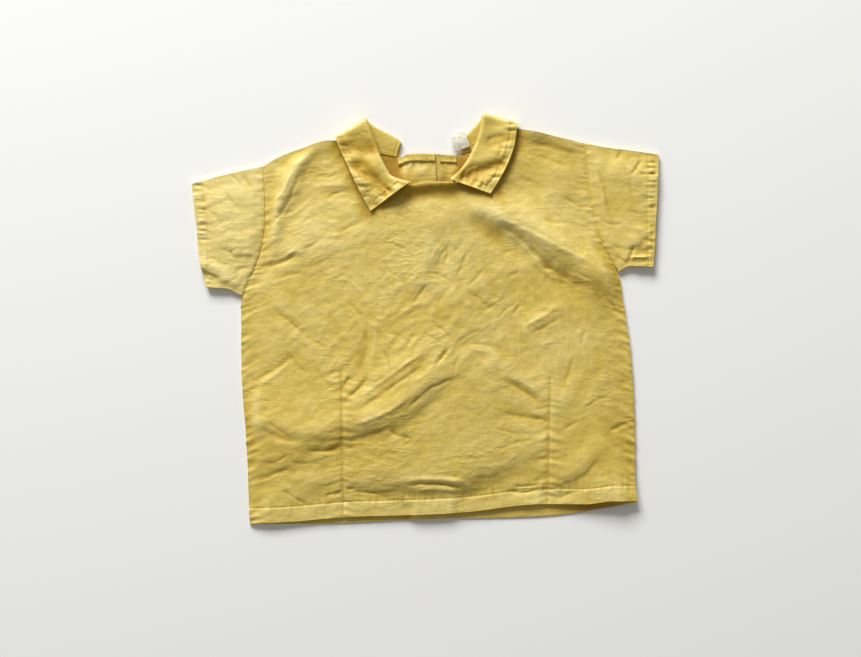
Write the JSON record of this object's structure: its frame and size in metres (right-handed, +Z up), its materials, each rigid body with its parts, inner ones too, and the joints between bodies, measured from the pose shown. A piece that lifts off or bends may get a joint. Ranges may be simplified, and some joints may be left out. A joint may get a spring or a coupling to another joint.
{
  "type": "baby blouse",
  "caption": "Short-sleeved baby blouse with a turned-down collar in two leaves and a buttoned back, laid out flat with its front up",
  "frame": {"origin": "the middle of the blouse's box on the surface that it lies on", "axes": "+X towards the viewer's right, from sleeve to sleeve; +Y from the hem to the neck; +Z up, out of the surface, through the front"},
  "size_m": [0.3838, 0.3378, 0.0139],
  "materials": {
    "blouse_cloth": "plain-woven washed cotton and linen, matt",
    "label_tape": "blank woven tape, matt",
    "button_shell": "satin"
  },
  "bodies": {
    "root": {"front_panel": "blouse_cloth", "back_panel_left": "blouse_cloth", "back_panel_right": "blouse_cloth", "sleeve_left": "blouse_cloth", "sleeve_right": "blouse_cloth", "collar_left": "blouse_cloth", "collar_right": "blouse_cloth", "neck_binding_front": "blouse_cloth", "neck_binding_back_left": "blouse_cloth", "neck_binding_back_right": "blouse_cloth", "neck_label": "label_tape", "button_1": "button_shell", "button_2": "button_shell", "button_3": "button_shell", "button_4": "button_shell", "button_5": "button_shell"}
  },
  "joints": []
}
